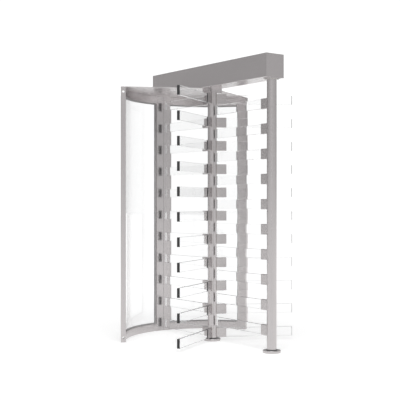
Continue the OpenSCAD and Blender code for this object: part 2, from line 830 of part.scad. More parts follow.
module canopy_screws() {
    color(ZINC) for (x = canopy_screw_xs, s = [-1, 1]) translate([x, s * canopy_screw_y, 0]) {
        translate([0, 0, panel_top - 3]) cylinder(r = 6, h = 3);
        translate([0, 0, panel_top - cut]) cylinder(r = 3, h = canopy_t + beam_t + 6 + cut);
    }
}

// Stiles: a web on the inner face and a lip folded outwards along each long edge.
module panel_stiles() {
    color(STEEL) both_sections() {
        difference() {
            union() {
                arc(panel_r, panel_r + sheet_t, 0, panel_top, gap_deg, stile_deg);
                span([-panel_out, section_gap / 2, 0], [-panel_r - cut, section_gap / 2 + sheet_t, panel_top]);
                arc(panel_r, panel_out, window_z0, window_z1, stile_deg - web_deg, stile_deg);
            }
            for (z = joint_bolt_zs) joint_bolt_hole(z);
        }
        arc(panel_r, panel_r + sheet_t, 0, panel_top, window_deg1, panel_half - flange_deg);
        arc(panel_r, panel_out, window_z0, window_z1, window_deg1, window_deg1 + web_deg);
    }
}

module joint_bolt_hole(z) {
    translate([-flange_mid_r, -cut, z]) rotate([-90, 0, 0])
        cylinder(r = joint_bolt_r + 0.5, h = sheet_t + section_gap + 2 * cut);
}

// Bolts that hold the two joint lips together, each with its nut.
module panel_joint_bolts() {
    grip = sheet_t + section_gap / 2;
    color(ZINC) for (z = joint_bolt_zs) translate([-flange_mid_r, 0, z]) rotate([-90, 0, 0]) {
        translate([0, 0, grip]) cylinder(r = 7, h = 5, $fn = 6);
        translate([0, 0, -grip - 12]) cylinder(r = joint_bolt_r, h = 2 * grip + 13);
        translate([0, 0, -grip - 7]) cylinder(r = 7, h = 7, $fn = 6);
    }
}

// Rails: a web and two lips, between the stiles.
module panel_rails() {
    color(STEEL) both_sections() {
        rail(0);
        rail(window_z1);
    }
}

module rail(z0) {
    difference() {
        union() {
            arc(panel_r, panel_r + sheet_t, z0, z0 + rail_h, stile_deg, window_deg1);
            arc(panel_r, panel_out, z0, z0 + sheet_t, stile_deg, window_deg1);
            arc(panel_r, panel_out, z0 + rail_h - sheet_t, z0 + rail_h, stile_deg, window_deg1);
        }
        if (z0 == 0) for (a = floor_screw_degs) rotate([0, 0, 180 - a])
            hole(flange_mid_r, 0, anchor_r, 0, sheet_t);
    }
}

// Flat bars across both free ends, drilled for the neighbouring barrier.
module panel_end_flanges() {
    color(STEEL) both_sections() difference() {
        rotate([0, 0, 180 - panel_half]) span([panel_r, 0, 0], [panel_out, flange_t, panel_top]);
        for (z = [flange_hole_z, panel_top - flange_hole_z]) rotate([0, 0, 180 - panel_half])
            translate([flange_mid_r, -cut, z]) rotate([-90, 0, 0])
                cylinder(r = flange_hole_r, h = flange_t + 2 * cut);
    }
}

edge_deg = pane_edge * deg_per_mm;
show_deg = gasket_w * deg_per_mm;

module panel_panes() {
    color(CLEAR) both_sections()
        arc(pane_r0, pane_r1, window_z0 + pane_edge, window_z1 - pane_edge,
            window_deg0 + edge_deg, window_deg1 - edge_deg);
}

module panel_gaskets() {
    color(RUBBER) both_sections() difference() {
        arc(pane_r0 - gasket_t, pane_r1 + gasket_t, window_z0, window_z1, window_deg0, window_deg1);
        arc(pane_r0 - gasket_t - cut, pane_r1 + gasket_t + cut, window_z0 + gasket_w,
            window_z1 - gasket_w, window_deg0 + show_deg, window_deg1 - show_deg);
        arc(pane_r0 - pane_gap, pane_r1 + pane_gap, window_z0 + pane_edge - pane_gap,
            window_z1 - pane_edge + pane_gap, window_deg0 + edge_deg - pane_gap * deg_per_mm,
            window_deg1 - edge_deg + pane_gap * deg_per_mm);
    }
}

rotor_column();
rotor_shaft();
rotor_foot_plug();
rotor_bush();
rotor_clamps_a();
rotor_clamps_b();
rotor_clamps_c();
rotor_blades_a();
rotor_blades_b();
rotor_blades_c();
rotor_liners();
rotor_caps();
rotor_clamp_screws();
bearing_inner_ring();
brake_disc();
drive_gear();
shaft_nut();
rotor_foot_plate();
rotor_foot_cover();
rotor_foot_seal();
post_tube();
post_foot_plate();
post_foot_cover();
post_foot_seal();
post_top_plate();
post_bolts();
barrier_clamps();
barrier_blades();
barrier_liners();
barrier_caps();
barrier_clamp_screws();
beam_channel();
beam_lid();
beam_lid_screws();
beam_end_plates();
hub_housing();
hub_screws();
mechanism_plate();
bearing_housing();
bearing_outer_ring();
bearing_balls();
encoder_bracket();
encoder_body();
encoder_pinion();
brake_pins();
brake_arm_a();
brake_arm_b();
solenoids();
plunger_a();
plunger_b();
control_board();
power_supply();
canopy_plate();
canopy_screws();
panel_stiles();
panel_rails();
panel_end_flanges();
panel_joint_bolts();
panel_gaskets();
panel_panes();
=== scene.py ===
"""The looks of a full-height visitor counter turnstile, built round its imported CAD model.

A rotor of clear blades turns in a drum of satin steel and glass. Each class below is one
sub-assembly: its fields are sizes in metres, and its methods model and dress its pieces.
"""
import logging
import math
from collections.abc import Callable, Iterator
from contextlib import contextmanager
from dataclasses import dataclass
from enum import Enum
from typing import Any

import bmesh
import bpy
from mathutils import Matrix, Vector


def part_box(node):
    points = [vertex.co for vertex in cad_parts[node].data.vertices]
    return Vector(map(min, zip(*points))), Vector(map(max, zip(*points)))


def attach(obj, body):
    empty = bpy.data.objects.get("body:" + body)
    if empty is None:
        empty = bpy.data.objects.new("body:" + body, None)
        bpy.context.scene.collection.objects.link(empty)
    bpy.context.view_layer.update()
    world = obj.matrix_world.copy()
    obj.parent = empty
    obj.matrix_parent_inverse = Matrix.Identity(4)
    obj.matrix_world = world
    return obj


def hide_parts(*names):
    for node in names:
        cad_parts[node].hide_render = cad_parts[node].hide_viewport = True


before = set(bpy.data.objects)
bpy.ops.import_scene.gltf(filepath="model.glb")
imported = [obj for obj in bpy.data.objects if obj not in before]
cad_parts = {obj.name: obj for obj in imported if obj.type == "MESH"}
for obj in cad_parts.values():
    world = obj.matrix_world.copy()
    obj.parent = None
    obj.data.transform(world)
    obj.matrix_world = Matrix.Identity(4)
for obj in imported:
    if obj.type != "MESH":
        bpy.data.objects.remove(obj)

LOG = logging.getLogger("turnstile")
Point = tuple[float, float, float]
Colour = tuple[float, float, float]
Piece = bpy.types.Object
EdgeTest = Callable[[bmesh.types.BMEdge], bool]
FaceTest = Callable[[bmesh.types.BMFace], bool]
MERGE = 2e-6  # corners nearer than this are one, in metres
SAME = 4e-4  # two places within this are the same, in metres
MIDDLE = 0.5  # the middle of a pattern that runs from 0 to 1


# ---- shader tools ---------------------------------------------------------------------------


class Wire:
    """A shader socket that carries a number, so that sums on it read as plain Python."""

    def __init__(self, sheet: "ShaderSheet", socket: bpy.types.NodeSocket) -> None:
        """Holds the socket and the sheet it belongs to.

        Args:
            sheet: The shader sheet that new Math nodes are put on.
            socket: The output socket that carries the number.
        """
        self.sheet = sheet
        self.socket = socket

    def _sum(self, operation: str, left: Any, right: Any) -> "Wire":
        """Adds one Math node.

        Args:
            operation: The Math node's operation.
            left: Its first value, a number or a Wire.
            right: Its second value, a number or a Wire.

        Returns:
            The node's result.
        """
        return self.sheet.node("ShaderNodeMath", {"operation": operation}, {0: left, 1: right})["Value"]

    def __add__(self, other: Any) -> "Wire":
        """Self plus other."""
        return self._sum("ADD", self, other)

    def __radd__(self, other: Any) -> "Wire":
        """Other plus self."""
        return self._sum("ADD", other, self)

    def __sub__(self, other: Any) -> "Wire":
        """Self minus other."""
        return self._sum("SUBTRACT", self, other)

    def __rsub__(self, other: Any) -> "Wire":
        """Other minus self."""
        return self._sum("SUBTRACT", other, self)

    def __mul__(self, other: Any) -> "Wire":
        """Self times other."""
        return self._sum("MULTIPLY", self, other)

    def __rmul__(self, other: Any) -> "Wire":
        """Other times self."""
        return self._sum("MULTIPLY", other, self)

    def above(self, limit: float, softness: float) -> "Wire":
        """A soft step.

        Args:
            limit: The value where the step is half done.
            softness: The width of the step.

        Returns:
            0 well below the limit and 1 well above it.
        """
        low, high = limit - softness / 2, limit + softness / 2
        settings = {"interpolation_type": "SMOOTHSTEP"}
        values = {"Value": self, "From Min": low, "From Max": high}
        return self.sheet.node("ShaderNodeMapRange", settings, values)["Result"]


class Outputs(dict):
    """The outputs of a node by name, each as a Wire."""


class ShaderSheet:
    """The node tree of one material or of the world."""

    def __init__(self, tree: bpy.types.NodeTree) -> None:
        """Clears the tree.

        Args:
            tree: The node tree to work on.
        """
        self.tree = tree
        tree.nodes.clear()

    def node(
        self, kind: str, settings: dict[str, Any] | None = None, values: dict[Any, Any] | None = None
    ) -> Outputs:
        """Adds a node: settings first, then the values or links of its sockets.

        Args:
            kind: The node's type.
            settings: Its settings by name.
            values: Its input sockets, by name or number, each with a number, a tuple or a Wire.

        Returns:
            The outputs by name.
        """
        made = self.tree.nodes.new(kind)
        for name, setting in (settings or {}).items():
            setattr(made, name, setting)
        for key, value in (values or {}).items():
            socket = made.inputs[key]
            if isinstance(value, Wire):
                self.tree.links.new(value.socket, socket)
            else:
                socket.default_value = value
        return Outputs({out.name: Wire(self, out) for out in made.outputs if out.enabled})

    def place(self) -> Wire:
        """The point on the piece, in object coordinates."""
        return self.node("ShaderNodeTexCoord")["Object"]

    def stretched(self, point: Wire, scale: Point) -> Wire:
        """The point with each axis scaled.

        Args:
            point: The point.
            scale: The scale of each axis.

        Returns:
            The scaled point.
        """
        return self.node("ShaderNodeMapping", None, {"Vector": point, "Scale": scale})["Vector"]

    def noise(self, point: Wire, scale: float, detail: float = 2.0, roughness: float = 0.5) -> Wire:
        """Noise from 0 to 1.

        Args:
            point: Where it is read.
            scale: Its scale, in cells per metre.
            detail: Its octaves.
            roughness: The strength of each finer octave.

        Returns:
            The noise's value.
        """
        values = {"Vector": point, "Scale": scale, "Detail": detail, "Roughness": roughness}
        return self.node("ShaderNodeTexNoise", None, values)["Fac"]

    def blend(self, factor: Any, first: Colour, second: Colour) -> Wire:
        """A colour between two colours.

        Args:
            factor: 0 for the first colour and 1 for the second.
            first: The first colour.
            second: The second colour.

        Returns:
            The colour.
        """
        values = {0: factor, 6: (*first, 1.0), 7: (*second, 1.0)}
        return self.node("ShaderNodeMix", {"data_type": "RGBA"}, values)["Result"]

    def bump(self, height: Wire, strength: float, distance: float) -> Wire:
        """A normal raised by a height.

        Args:
            height: The height, from 0 to 1.
            strength: How much of it shows.
            distance: The height that 1 stands for, in metres.

        Returns:
            The normal.
        """
        values = {"Height": height, "Strength": strength, "Distance": distance}
        return self.node("ShaderNodeBump", None, values)["Normal"]

    def surface(self, values: dict[str, Any]) -> None:
        """Puts a Principled shader on the material's output.

        Args:
            values: The shader's sockets.
        """
        shader = self.node("ShaderNodeBsdfPrincipled", None, values)["BSDF"]
        self.node("ShaderNodeOutputMaterial", None, {"Surface": shader})


# ---- finishes -------------------------------------------------------------------------------


class Grain(Enum):
    """The way that brushing or turning runs, as the scale of each axis in its pattern."""

    ALONG_X = (2.0, 90.0, 90.0)
    ALONG_Z = (90.0, 90.0, 2.0)
    ROUND_Z = (3.0, 3.0, 90.0)
    EVEN = (120.0, 120.0, 120.0)


@dataclass(frozen=True)
class Finish:
    """A named finish that makes its own material once."""

    name: str

    def nodes(self, sheet: ShaderSheet) -> None:
        """Draws the finish.

        Args:
            sheet: The empty sheet of the material.
        """
        raise NotImplementedError

    def material(self) -> bpy.types.Material:
        """The finish's material, made the first time it is asked for."""
        known = bpy.data.materials.get(self.name)
        if known is not None:
            return known
        made = bpy.data.materials.new(self.name)
        made.use_nodes = True
        self.nodes(ShaderSheet(made.node_tree))
        return made


@dataclass(frozen=True)
class BrushedMetal(Finish):
    """Metal with a brushed or turned grain and faint cloudy handling marks."""

    grain: Grain
    tone: Colour = (0.572, 0.545, 0.547)
    roughness: float = 0.25
    depth: float = 0.12
    fine: float = 11.0
    cloud: float = 3.2
    streak_gloss: float = 0.12
    cloud_gloss: float = 0.05
    darkest: float = 0.94
    lightest: float = 1.05
    height: float = 0.00012

    def nodes(self, sheet: ShaderSheet) -> None:
        """Draws streaks along the grain, coarse and fine, over soft clouds.

        Args:
            sheet: The empty sheet of the material.
        """
        point = sheet.place()
        along = sheet.stretched(point, self.grain.value)
        coarse = sheet.noise(along, 1.0, 3.0, 0.6)
        fine = sheet.noise(along, self.fine, 3.0, 0.7)
        clouds = sheet.noise(point, self.cloud, 3.0, 0.55)
        streak = coarse * 0.45 + fine * 0.55
        gloss = (streak - MIDDLE) * self.streak_gloss + (clouds - MIDDLE) * self.cloud_gloss
        dark = tuple(channel * self.darkest for channel in self.tone)
        light = tuple(channel * self.lightest for channel in self.tone)
        sheet.surface({
            "Base Color": sheet.blend(streak * 0.7 + clouds * 0.3, dark, light),
            "Metallic": 1.0,
            "Roughness": gloss + self.roughness,
            "Normal": sheet.bump(fine, self.depth, self.height),
        })


@dataclass(frozen=True)
class WeldBead(Finish):
    """A brushed weld: close ripples and a straw-coloured tint where it ran hot."""

    ripple: float = 520.0
    heat: float = 60.0
    straw: Colour = (0.50, 0.46, 0.40)
    clean: Colour = (0.60, 0.59, 0.58)

    def nodes(self, sheet: ShaderSheet) -> None:
        """Draws ripples across the bead.

        Args:
            sheet: The empty sheet of the material.
        """
        point = sheet.place()
        ripple = sheet.noise(point, self.ripple, 2.0, 0.6)
        heat = sheet.noise(point, self.heat)
        sheet.surface({
            "Base Color": sheet.blend(heat, self.straw, self.clean),
            "Metallic": 1.0,
            "Roughness": ripple * 0.25 + 0.26,
            "Normal": sheet.bump(ripple, 0.6, 0.0005),
        })


@dataclass(frozen=True)
class ClearSheet(Finish):
    """Clear acrylic or glass, with a trace of colour and of polishing haze."""

    tint: Colour = (0.992, 0.993, 0.994)
    ior: float = 1.49
    haze: float = 0.012
    polish: float = 0.004
    wipe: float = 7.0
    faintest: float = 0.988

    def nodes(self, sheet: ShaderSheet) -> None:
        """Draws a clear body whose gloss varies a little.

        Args:
            sheet: The empty sheet of the material.
        """
        point = sheet.place()
        wipe = sheet.noise(sheet.stretched(point, (1.0, 1.0, 3.0)), self.wipe, 3.0, 0.6)
        faint = tuple(channel * self.faintest for channel in self.tint)
        sheet.surface({
            "Base Color": sheet.blend(wipe, faint, self.tint),
            "Roughness": wipe.above(0.55, 0.5) * self.haze + self.polish,
            "IOR": self.ior,
            "Transmission Weight": 1.0,
        })


@dataclass(frozen=True)
class MouldedRubber(Finish):
    """Rubber or black plastic with a fine moulded skin and a little dust in its hollows."""

    dark: Colour = (0.020, 0.020, 0.021)
    dusty: Colour = (0.045, 0.045, 0.046)
    roughness: float = 0.55
    skin: float = 900.0
    dust: float = 24.0

    def nodes(self, sheet: ShaderSheet) -> None:
        """Draws a fine skin and broader dusty patches.

        Args:
            sheet: The empty sheet of the material.
        """
        point = sheet.place()
        skin = sheet.noise(point, self.skin, 2.0, 0.6)
        dust = sheet.noise(point, self.dust, 3.0, 0.6)
        sheet.surface({
            "Base Color": sheet.blend(dust * 0.7 + skin * 0.3, self.dark, self.dusty),
            "Roughness": dust * 0.2 + (self.roughness - 0.1),
            "Normal": sheet.bump(skin, 0.35, 0.0002),
        })


@dataclass(frozen=True)
class CastOrPainted(Finish):
    """A cast, wound or painted surface inside the beam, with an even grain."""

    low: Colour
    high: Colour
    metallic: float = 0.0
    roughness: float = 0.5
    grain: float = 420.0
    patch: float = 18.0

    def nodes(self, sheet: ShaderSheet) -> None:
        """Draws an even grain.

        Args:
            sheet: The empty sheet of the material.
        """
        point = sheet.place()
        grain = sheet.noise(point, self.grain, 3.0, 0.6)
        patch = sheet.noise(point, self.patch)
        sheet.surface({
            "Base Color": sheet.blend(grain * 0.5 + patch * 0.5, self.low, self.high),
            "Metallic": self.metallic,
            "Roughness": patch * 0.2 + (self.roughness - 0.1),
            "Normal": sheet.bump(grain, 0.3, 0.0003),
        })


@dataclass(frozen=True)
class CircuitBoard(Finish):
    """A lacquered board with copper tracks under the lacquer."""

    cells: float = 130.0
    lacquer: Colour = (0.02, 0.10, 0.04)
    copper: Colour = (0.05, 0.20, 0.07)

    def nodes(self, sheet: ShaderSheet) -> None:
        """Draws tracks as the edges of square cells.

        Args:
            sheet: The empty sheet of the material.
        """
        settings = {"feature": "DISTANCE_TO_EDGE"}
        values = {"Vector": sheet.place(), "Scale": self.cells}
        edge = sheet.node("ShaderNodeTexVoronoi", settings, values)["Distance"]
        track = 1 - edge.above(0.09, 0.03)
        sheet.surface({
            "Base Color": sheet.blend(track, self.lacquer, self.copper),
            "Roughness": 0.32 - track * 0.08,
            "Normal": sheet.bump(track, 0.3, 0.0002),
        })


@dataclass(frozen=True)
class StudioFloor(Finish):
    """A pale matt floor that is lit to the same white as the wall behind.

    The overhead light fades with distance, so the floor's own glow grows with it.
    """

    tone: float = 0.65
    lift: float = 0.73
    near: float = 0.65
    lamp: Point = (2.5, -2.2, 0.0)
    fade: float = 9.0

    def nodes(self, sheet: ShaderSheet) -> None:
        """Draws an even white with a trace of texture.

        Args:
            sheet: The empty sheet of the material.
        """
        point = sheet.place()
        patch = sheet.noise(point, 0.8)
        low = (self.tone * 0.99,) * 3
        away = sheet.node(
            "ShaderNodeVectorMath", {"operation": "DISTANCE"}, {0: point, 1: self.lamp})["Value"]
        glow = sheet.blend(away.above(self.fade / 2, self.fade), (self.near,) * 3, (1.0,) * 3)
        sheet.surface({
            "Base Color": sheet.blend(patch, low, (self.tone,) * 3),
            "Roughness": 0.95,
            "Specular IOR Level": 0.1,
            "Emission Color": glow,
            "Emission Strength": self.lift,
        })


STEEL_X = BrushedMetal("steel_brushed_lengthways", Grain.ALONG_X)
STEEL_Z = BrushedMetal("steel_brushed_upright", Grain.ALONG_Z)
STEEL_TUBE = BrushedMetal("steel_polished_round", Grain.ROUND_Z)
STEEL_SHEET = BrushedMetal("steel_satin_sheet", Grain.EVEN, (0.600, 0.572, 0.574), 0.27)
# The canopy's sheet steel is toned lighter than the rest: painted light from the bright floor below it.
STEEL_CANOPY_PAINTED_LIGHT = BrushedMetal("steel_sheet_painted_floor_light", Grain.EVEN, (0.665, 0.636, 0.638), 0.27)
STEEL_CLAMP = BrushedMetal("steel_folded_clamp", Grain.EVEN, (0.545, 0.520, 0.522), 0.27)
WELD = WeldBead("weld_bead")
ACRYLIC = ClearSheet("acrylic_blade")
GLASS = ClearSheet("curved_glass", tint=(0.982, 0.984, 0.985), ior=1.50, haze=0.006)
CAP_BLACK = MouldedRubber("end_cap_black", (0.016, 0.016, 0.017), (0.032, 0.032, 0.033), 0.48)
LINER_RUBBER = MouldedRubber("liner_rubber", (0.030, 0.030, 0.032), (0.060, 0.060, 0.062), 0.6)
GASKET_RUBBER = MouldedRubber("gasket_rubber", (0.47, 0.462, 0.465), (0.54, 0.532, 0.535), 0.6)
SEAL_RUBBER = MouldedRubber("seal_rubber", (0.13, 0.13, 0.132), (0.18, 0.18, 0.182), 0.6)
FASTENER = BrushedMetal("stainless_fastener", Grain.EVEN, (0.60, 0.60, 0.59), 0.28, 0.5)
MACHINED = BrushedMetal("machined_steel", Grain.ROUND_Z, (0.50, 0.50, 0.50), 0.34, 0.6)
BEARING = BrushedMetal("ground_bearing_steel", Grain.ROUND_Z, (0.66, 0.66, 0.66), 0.16, 0.2)
BRONZE = BrushedMetal("turned_bronze", Grain.ROUND_Z, (0.62, 0.42, 0.20), 0.35, 0.5)
CAST = CastOrPainted("cast_aluminium", (0.48, 0.48, 0.48), (0.62, 0.62, 0.62), 1.0, 0.5)
ENCODER_CASE = CastOrPainted("encoder_case", (0.10, 0.10, 0.11), (0.16, 0.16, 0.17), 0.2, 0.45)
COIL_CASE = CastOrPainted("coil_case", (0.30, 0.27, 0.20), (0.42, 0.38, 0.28), 0.8, 0.4)
SUPPLY_CASE = CastOrPainted("supply_case", (0.34, 0.35, 0.36), (0.44, 0.45, 0.46), 0.6, 0.45)
BOARD = CircuitBoard("control_board")

SLOT_FINISHES: dict[str, Finish] = {
    "satin_steel": STEEL_SHEET, "machined_steel": MACHINED, "clear_acrylic": ACRYLIC,
    "clear_glass": GLASS, "rubber": LINER_RUBBER, "black_caps": CAP_BLACK, "black_seal": SEAL_RUBBER,
    "zinc_fasteners": FASTENER, "bearing_steel": BEARING, "bronze": BRONZE, "cast_aluminium": CAST,
    "encoder_housing": ENCODER_CASE, "coil_housing": COIL_CASE, "circuit_board": BOARD,
    "supply_case": SUPPLY_CASE,
}
NODE_FINISHES: dict[str, Finish] = {"rotor_column": STEEL_TUBE, "post_tube": STEEL_TUBE}


# ---- mesh tools -----------------------------------------------------------------------------


class Bench:
    """Mesh work with Blender's own operators, on one object at a time."""

    @staticmethod
    def alone(piece: Piece) -> None:
        """Selects only this piece and makes it active.

        Args:
            piece: The piece.
        """
        if bpy.context.object is not None and bpy.context.object.mode != "OBJECT":
            bpy.ops.object.mode_set(mode="OBJECT")
        bpy.ops.object.select_all(action="DESELECT")
        piece.select_set(True)
        bpy.context.view_layer.objects.active = piece

    @staticmethod
    @contextmanager
    def editing(piece: Piece, pick: str = "EDGE") -> Iterator[None]:
        """Edit mode on this piece with nothing selected.

        Args:
            piece: The piece.
            pick: What is selected in it: VERT, EDGE or FACE.

        Yields:
            Nothing.
        """
        Bench.alone(piece)
        bpy.ops.object.mode_set(mode="EDIT")
        bpy.ops.mesh.select_mode(type=pick)
        bpy.ops.mesh.select_all(action="DESELECT")
        yield
        bpy.ops.object.mode_set(mode="OBJECT")

    @staticmethod
    def pick_edges(piece: Piece, test: EdgeTest) -> int:
        """Selects the edges that pass a test, in edit mode.

        Args:
            piece: The piece.
            test: The test of an edge.

        Returns:
            How many were selected.
        """
        mesh = bmesh.from_edit_mesh(piece.data)
        chosen = [edge for edge in mesh.edges if test(edge)]
        for edge in chosen:
            edge.select_set(True)
        bmesh.update_edit_mesh(piece.data)
        return len(chosen)

    @staticmethod
    def pick_faces(piece: Piece, test: FaceTest) -> int:
        """Selects the faces that pass a test, in edit mode.

        Args:
            piece: The piece.
            test: The test of a face.

        Returns:
            How many were selected.
        """
        mesh = bmesh.from_edit_mesh(piece.data)
        chosen = [face for face in mesh.faces if test(face)]
        for face in chosen:
            face.select_set(True)
        bmesh.update_edit_mesh(piece.data)
        return len(chosen)

    @staticmethod
    def fix(piece: Piece) -> None:
        """Puts a piece's place, turn and size into its mesh.

        Args:
            piece: The piece.
        """
        Bench.alone(piece)
        bpy.ops.object.transform_apply(location=True, rotation=True, scale=True)

    @staticmethod
    def box(name: str, low: Point, high: Point) -> Piece:
        """A box between two corners.

        Args:
            name: The piece's name.
            low: Its lowest corner.
            high: Its highest corner.

        Returns:
            The piece.
        """
        bpy.ops.object.select_all(action="DESELECT")
        middle = [(a + b) / 2 for a, b in zip(low, high)]
        size = [b - a for a, b in zip(low, high)]
        bpy.ops.mesh.primitive_cube_add(size=1.0, location=middle, scale=size)
        made = bpy.context.object
        made.name = name
        Bench.fix(made)
        return made

    @staticmethod
    def cylinder(name: str, radius: float, low: float, high: float, centre: tuple[float, float] = (0, 0),
                 sides: int = 48) -> Piece:
        """An upright cylinder.

        Args:
            name: The piece's name.
            radius: Its radius.
            low: The height of its lower face.
            high: The height of its upper face.
            centre: Its axis, in plan.
            sides: How many sides it has.

        Returns:
            The piece.
        """
        bpy.ops.object.select_all(action="DESELECT")
        bpy.ops.mesh.primitive_cylinder_add(
            vertices=sides, radius=radius, depth=high - low, location=(*centre, (low + high) / 2))
        made = bpy.context.object
        made.name = name
        Bench.fix(made)
        return made

    @staticmethod
    def spun(name: str, profile: list[tuple[float, float]], centre: tuple[float, float] = (0, 0),
             steps: int = 96) -> Piece:
        """A ring spun from a closed profile.

        Args:
            name: The piece's name.
            profile: The profile's corners, each a radius and a height.
            centre: The axis, in plan.
            steps: How many steps the ring has.

        Returns:
            The piece.
        """
        bpy.ops.object.select_all(action="DESELECT")
        bpy.ops.mesh.primitive_circle_add(vertices=len(profile), radius=0.01, fill_type="NOTHING")
        made = bpy.context.object
        made.name = name
        for vertex, (radius, height) in zip(made.data.vertices, profile):
            vertex.co = (centre[0] + radius, centre[1], height)
        with Bench.editing(made):
            bpy.ops.mesh.select_all(action="SELECT")
            bpy.ops.mesh.spin(steps=steps, angle=math.tau, center=(*centre, 0.0), axis=(0.0, 0.0, 1.0))
            bpy.ops.mesh.select_all(action="SELECT")
            bpy.ops.mesh.remove_doubles(threshold=MERGE)
            bpy.ops.mesh.normals_make_consistent(inside=False)
        return made

    @staticmethod
    def bead(name: str, path: list[Point], radius: float) -> Piece:
        """A closed round bead along a path, as a mesh.

        Args:
            name: The piece's name.
            path: The points that it follows.
            radius: Its radius.

        Returns:
            The piece.
        """
        bpy.ops.object.select_all(action="DESELECT")
        line = bpy.data.curves.new(name, "CURVE")
        line.dimensions = "3D"
        line.bevel_depth = radius
        line.bevel_resolution = 2
        spline = line.splines.new("POLY")
        spline.points.add(len(path) - 1)
        for point, place in zip(spline.points, path):
            point.co = (*place, 1.0)
        spline.use_cyclic_u = True
        made = bpy.data.objects.new(name, line)
        bpy.context.collection.objects.link(made)
        Bench.alone(made)
        bpy.ops.object.convert(target="MESH")
        made = bpy.context.object
        with Bench.editing(made):
            bpy.ops.mesh.select_all(action="SELECT")
            bpy.ops.mesh.remove_doubles(threshold=MERGE)
            bpy.ops.mesh.normals_make_consistent(inside=False)
        return made

    @staticmethod
    def cad_copy(node: str, name: str) -> Piece:
        """A merged copy of a CAD node, with its flat faces whole again.

        Args:
            node: The node.
            name: The piece's name.

        Returns:
            The piece.
        """
        made = bpy.data.objects.new(name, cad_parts[node].data.copy())
        bpy.context.collection.objects.link(made)
        made.data.materials.clear()
        with Bench.editing(made):
            bpy.ops.mesh.select_all(action="SELECT")
            bpy.ops.mesh.customdata_custom_splitnormals_clear()
            bpy.ops.mesh.remove_doubles(threshold=MERGE)
            bpy.ops.mesh.dissolve_limited(angle_limit=math.radians(0.2))
        return made

    @staticmethod
    def round_edges(piece: Piece, width: float, segments: int, test: EdgeTest) -> None:
        """Rounds the edges that pass a test.

        Args:
            piece: The piece.
            width: The radius.
            segments: The steps across each rounded edge.
            test: The test of an edge.
        """
        with Bench.editing(piece):
            if Bench.pick_edges(piece, test):
                bpy.ops.mesh.bevel(offset=width, offset_type="OFFSET", segments=segments, profile=0.5,
                                   clamp_overlap=True)

    @staticmethod
    def modify(piece: Piece, kind: str, **settings: Any) -> None:
        """Adds a modifier and applies it.

        Args:
            piece: The piece.
            kind: The modifier's type.
            **settings: Its settings.
        """
        Bench.alone(piece)
        added = piece.modifiers.new(kind.lower(), kind)
        for name, value in settings.items():
            setattr(added, name, value)
        bpy.ops.object.modifier_apply(modifier=added.name)

    @staticmethod
    def soften(piece: Piece, width: float, segments: int = 2, angle: float = 40.0) -> None:
        """Takes the sharpness off every hard edge.

        Args:
            piece: The piece.
            width: The radius.
            segments: The steps across each rounded edge.
            angle: The angle between faces above which an edge is hard, in degrees.
        """
        Bench.modify(piece, "BEVEL", width=width, segments=segments, limit_method="ANGLE",
                     angle_limit=math.radians(angle), use_clamp_overlap=True, offset_type="OFFSET")

    @staticmethod
    def cut(piece: Piece, tool: Piece) -> None:
        """Takes a tool's shape out of a piece, and the tool away.

        Args:
            piece: The piece.
            tool: The tool.
        """
        Bench.modify(piece, "BOOLEAN", operation="DIFFERENCE", solver="EXACT", object=tool)
        bpy.data.objects.remove(tool, do_unlink=True)

    @staticmethod
    def repeat(piece: Piece, count: int, step: Point) -> None:
        """Copies a piece's shape in a row.

        Args:
            piece: The piece.
            count: How many there are, the first included.
            step: The way from one to the next.
        """
        Bench.modify(piece, "ARRAY", count=count, use_relative_offset=False, use_constant_offset=True,
                     constant_offset_displace=step)

    @staticmethod
    def twin(piece: Piece, name: str) -> Piece:
        """A copy of a piece with its own mesh.

        Args:
            piece: The piece.
            name: The copy's name.

        Returns:
            The copy.
        """
        made = bpy.data.objects.new(name, piece.data.copy())
        bpy.context.collection.objects.link(made)
        return made

    @staticmethod
    def join(pieces: list[Piece], name: str) -> Piece:
        """Joins several pieces into one.

        Args:
            pieces: The pieces.
            name: The name of the one that is left.

        Returns:
            The joined piece.
        """
        Bench.alone(pieces[0])
        for piece in pieces:
            piece.select_set(True)
        if len(pieces) > 1:
            bpy.ops.object.join()
        made = bpy.context.object
        made.name = name
        return made

    @staticmethod
    def place(piece: Piece, turn: float = 0.0, shift: Point = (0.0, 0.0, 0.0)) -> None:
        """Turns a piece about the upright axis, then moves it, in its mesh.

        Args:
            piece: The piece.
            turn: The turn in degrees.
            shift: The move.
        """
        piece.rotation_euler = (0.0, 0.0, math.radians(turn))
        piece.location = shift
        Bench.fix(piece)

    @staticmethod
    def finish(piece: Piece, finish: Finish, slot: str, body: str, stands_for: tuple[str, ...] = (),
               smooth: float = 40.0) -> Piece:
        """Smooths, dresses and mounts a finished piece.

        Args:
            piece: The piece.
            finish: Its finish.
            slot: The material slot that the finish belongs to; not used.
            body: The body that it rides on.
            stands_for: The CAD nodes that it replaces.
            smooth: The angle up to which it is shaded smooth, in degrees, with its flat faces kept flat.

        Returns:
            The piece.
        """
        Bench.alone(piece)
        bpy.ops.object.shade_smooth_by_angle(angle=math.radians(smooth))
        if smooth > 0:
            Bench.modify(piece, "WEIGHTED_NORMAL", mode="FACE_AREA", weight=80, keep_sharp=True)
        piece.data.materials.clear()
        piece.data.materials.append(finish.material())
        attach(piece, body)
        if stands_for:
            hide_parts(*stands_for)
        LOG.info("%s: %d faces, %s, rides on %s", piece.name, len(piece.data.polygons), finish.name, body)
        return piece


def softened_copy(node: str, name: str, width: float, finish: Finish, slot: str = "satin_steel",
                  segments: int = 2, angle: float = 40.0) -> Piece:
    """Stands a copy with softened edges for a CAD node of the frame.

    Args:
        node: The node.
        name: The piece's name.
        width: The radius of its edges.
        finish: Its finish.
        slot: The material slot that the finish belongs to.
        segments: The steps across each rounded edge.
        angle: The angle between faces above which an edge is hard, in degrees.

    Returns:
        The finished piece.
    """
    made = Bench.cad_copy(node, name)
    Bench.soften(made, width, segments, angle)
    return Bench.finish(made, finish, slot, "frame", (node,))


